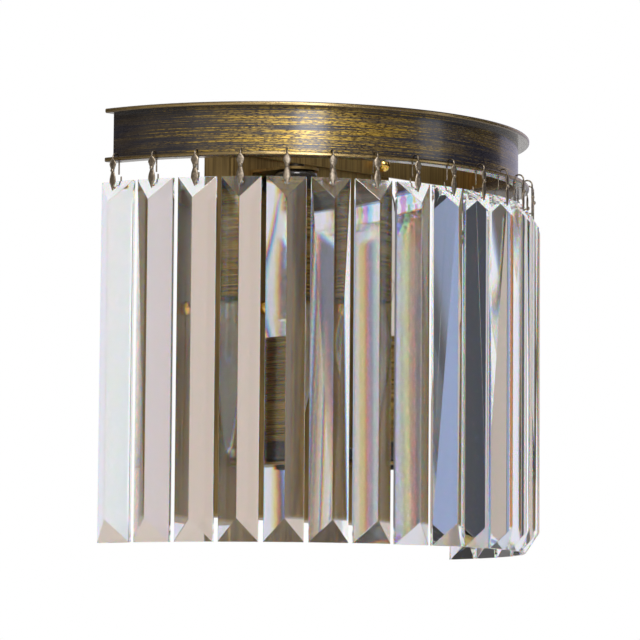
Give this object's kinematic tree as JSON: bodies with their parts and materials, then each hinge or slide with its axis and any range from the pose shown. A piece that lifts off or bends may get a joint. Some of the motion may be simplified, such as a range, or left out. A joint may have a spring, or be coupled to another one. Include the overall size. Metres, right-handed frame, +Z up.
{
  "type": "wall sconce",
  "caption": "Half-round wall sconce: brushed bronze band with hanging prism crystals round two candle lamps on a box backplate.",
  "frame": {"origin": "on the wall, midway between the two wall screw slots", "axes": "+Z up, +Y into the wall, +X to the right when one faces the sconce"},
  "size_m": [0.31, 0.1461, 0.2412],
  "materials": {
    "band_bronze": "black paint brushed through to bronze",
    "rim_bronze": "rubbed bronze",
    "plate_bronze": "dark brushed bronze",
    "sleeve_bronze": "brushed bronze",
    "zinc_steel": "zinc plated",
    "nut_brass": "polished",
    "contact_brass": "plain",
    "white_plastic": "moulded",
    "cap_black": "moulded",
    "holder_black": "moulded",
    "black_rubber": "moulded",
    "lead_sheath": "sheathed lead",
    "bulb_glass": "clear",
    "crystal": "clear polished crystal",
    "clip_wire": "bright wire"
  },
  "bodies": {
    "frame": {"band": "band_bronze", "top_rim": "rim_bronze", "lower_rim": "rim_bronze", "cross_bar": "plate_bronze", "backplate": "plate_bronze", "wall_bracket": "zinc_steel", "ball_nuts": "nut_brass", "terminal_block": "white_plastic", "bracket_screws": "zinc_steel", "lead_grommets": "black_rubber", "lamp_nipples": "zinc_steel", "holder_contacts": "contact_brass", "bulb_bases": "contact_brass", "lamp_leads": "lead_sheath", "lamp_bracket_upper": "plate_bronze", "holder_cap_upper": "cap_black", "lamp_sleeve_upper": "sleeve_bronze", "lampholder_upper": "holder_black", "bulb_glass_upper": "bulb_glass", "lamp_bracket_lower": "plate_bronze", "holder_cap_lower": "cap_black", "lamp_sleeve_lower": "sleeve_bronze", "lampholder_lower": "holder_black", "bulb_glass_lower": "bulb_glass"},
    "pendant_01": {"crystal_01": "crystal", "clip_01": "clip_wire"},
    "pendant_02": {"crystal_02": "crystal", "clip_02": "clip_wire"},
    "pendant_03": {"crystal_03": "crystal", "clip_03": "clip_wire"},
    "pendant_04": {"crystal_04": "crystal", "clip_04": "clip_wire"},
    "pendant_05": {"crystal_05": "crystal", "clip_05": "clip_wire"},
    "pendant_06": {"crystal_06": "crystal", "clip_06": "clip_wire"},
    "pendant_07": {"crystal_07": "crystal", "clip_07": "clip_wire"},
    "pendant_08": {"crystal_08": "crystal", "clip_08": "clip_wire"},
    "pendant_09": {"crystal_09": "crystal", "clip_09": "clip_wire"},
    "pendant_10": {"crystal_10": "crystal", "clip_10": "clip_wire"},
    "pendant_11": {"crystal_11": "crystal", "clip_11": "clip_wire"},
    "pendant_12": {"crystal_12": "crystal", "clip_12": "clip_wire"},
    "pendant_13": {"crystal_13": "crystal", "clip_13": "clip_wire"},
    "pendant_14": {"crystal_14": "crystal", "clip_14": "clip_wire"},
    "pendant_15": {"crystal_15": "crystal", "clip_15": "clip_wire"},
    "pendant_16": {"crystal_16": "crystal", "clip_16": "clip_wire"},
    "pendant_17": {"crystal_17": "crystal", "clip_17": "clip_wire"},
    "pendant_18": {"crystal_18": "crystal", "clip_18": "clip_wire"}
  },
  "joints": [
    {"name": "swing_01", "type": "hinge", "parent": "frame", "child": "pendant_01", "pos_m": [-0.14819, -0.01191, 0.0295], "axis": [-0.1463, 0.9892, 0], "range_deg": [-3, 20]},
    {"name": "swing_02", "type": "hinge", "parent": "frame", "child": "pendant_02", "pos_m": [-0.14246, -0.03631, 0.0295], "axis": [-0.3092, 0.951, 0], "range_deg": [-3, 20]},
    {"name": "swing_03", "type": "hinge", "parent": "frame", "child": "pendant_03", "pos_m": [-0.13274, -0.05942, 0.0295], "axis": [-0.4634, 0.8861, 0], "range_deg": [-3, 20]},
    {"name": "swing_04", "type": "hinge", "parent": "frame", "child": "pendant_04", "pos_m": [-0.11931, -0.08058, 0.0295], "axis": [-0.6047, 0.7965, 0], "range_deg": [-3, 20]},
    {"name": "swing_05", "type": "hinge", "parent": "frame", "child": "pendant_05", "pos_m": [-0.10254, -0.09921, 0.0295], "axis": [-0.729, 0.6845, 0], "range_deg": [-3, 20]},
    {"name": "swing_06", "type": "hinge", "parent": "frame", "child": "pendant_06", "pos_m": [-0.08289, -0.11478, 0.0295], "axis": [-0.833, 0.5533, 0], "range_deg": [-3, 20]},
    {"name": "swing_07", "type": "hinge", "parent": "frame", "child": "pendant_07", "pos_m": [-0.06092, -0.12685, 0.0295], "axis": [-0.9136, 0.4067, 0], "range_deg": [-3, 20]},
    {"name": "swing_08", "type": "hinge", "parent": "frame", "child": "pendant_08", "pos_m": [-0.03725, -0.13509, 0.0295], "axis": [-0.9686, 0.2487, 0], "range_deg": [-3, 20]},
    {"name": "swing_09", "type": "hinge", "parent": "frame", "child": "pendant_09", "pos_m": [-0.01253, -0.13927, 0.0295], "axis": [-0.9965, 0.0837, 0], "range_deg": [-3, 20]},
    {"name": "swing_10", "type": "hinge", "parent": "frame", "child": "pendant_10", "pos_m": [0.01253, -0.13927, 0.0295], "axis": [-0.9965, -0.0837, 0], "range_deg": [-3, 20]},
    {"name": "swing_11", "type": "hinge", "parent": "frame", "child": "pendant_11", "pos_m": [0.03725, -0.13509, 0.0295], "axis": [-0.9686, -0.2487, 0], "range_deg": [-3, 20]},
    {"name": "swing_12", "type": "hinge", "parent": "frame", "child": "pendant_12", "pos_m": [0.06092, -0.12685, 0.0295], "axis": [-0.9136, -0.4067, 0], "range_deg": [-3, 20]},
    {"name": "swing_13", "type": "hinge", "parent": "frame", "child": "pendant_13", "pos_m": [0.08289, -0.11478, 0.0295], "axis": [-0.833, -0.5533, 0], "range_deg": [-3, 20]},
    {"name": "swing_14", "type": "hinge", "parent": "frame", "child": "pendant_14", "pos_m": [0.10254, -0.09921, 0.0295], "axis": [-0.729, -0.6845, 0], "range_deg": [-3, 20]},
    {"name": "swing_15", "type": "hinge", "parent": "frame", "child": "pendant_15", "pos_m": [0.11931, -0.08058, 0.0295], "axis": [-0.6047, -0.7965, 0], "range_deg": [-3, 20]},
    {"name": "swing_16", "type": "hinge", "parent": "frame", "child": "pendant_16", "pos_m": [0.13274, -0.05942, 0.0295], "axis": [-0.4634, -0.8861, 0], "range_deg": [-3, 20]},
    {"name": "swing_17", "type": "hinge", "parent": "frame", "child": "pendant_17", "pos_m": [0.14246, -0.03631, 0.0295], "axis": [-0.3092, -0.951, 0], "range_deg": [-3, 20]},
    {"name": "swing_18", "type": "hinge", "parent": "frame", "child": "pendant_18", "pos_m": [0.14819, -0.01191, 0.0295], "axis": [-0.1463, -0.9892, 0], "range_deg": [-3, 20]}
  ]
}
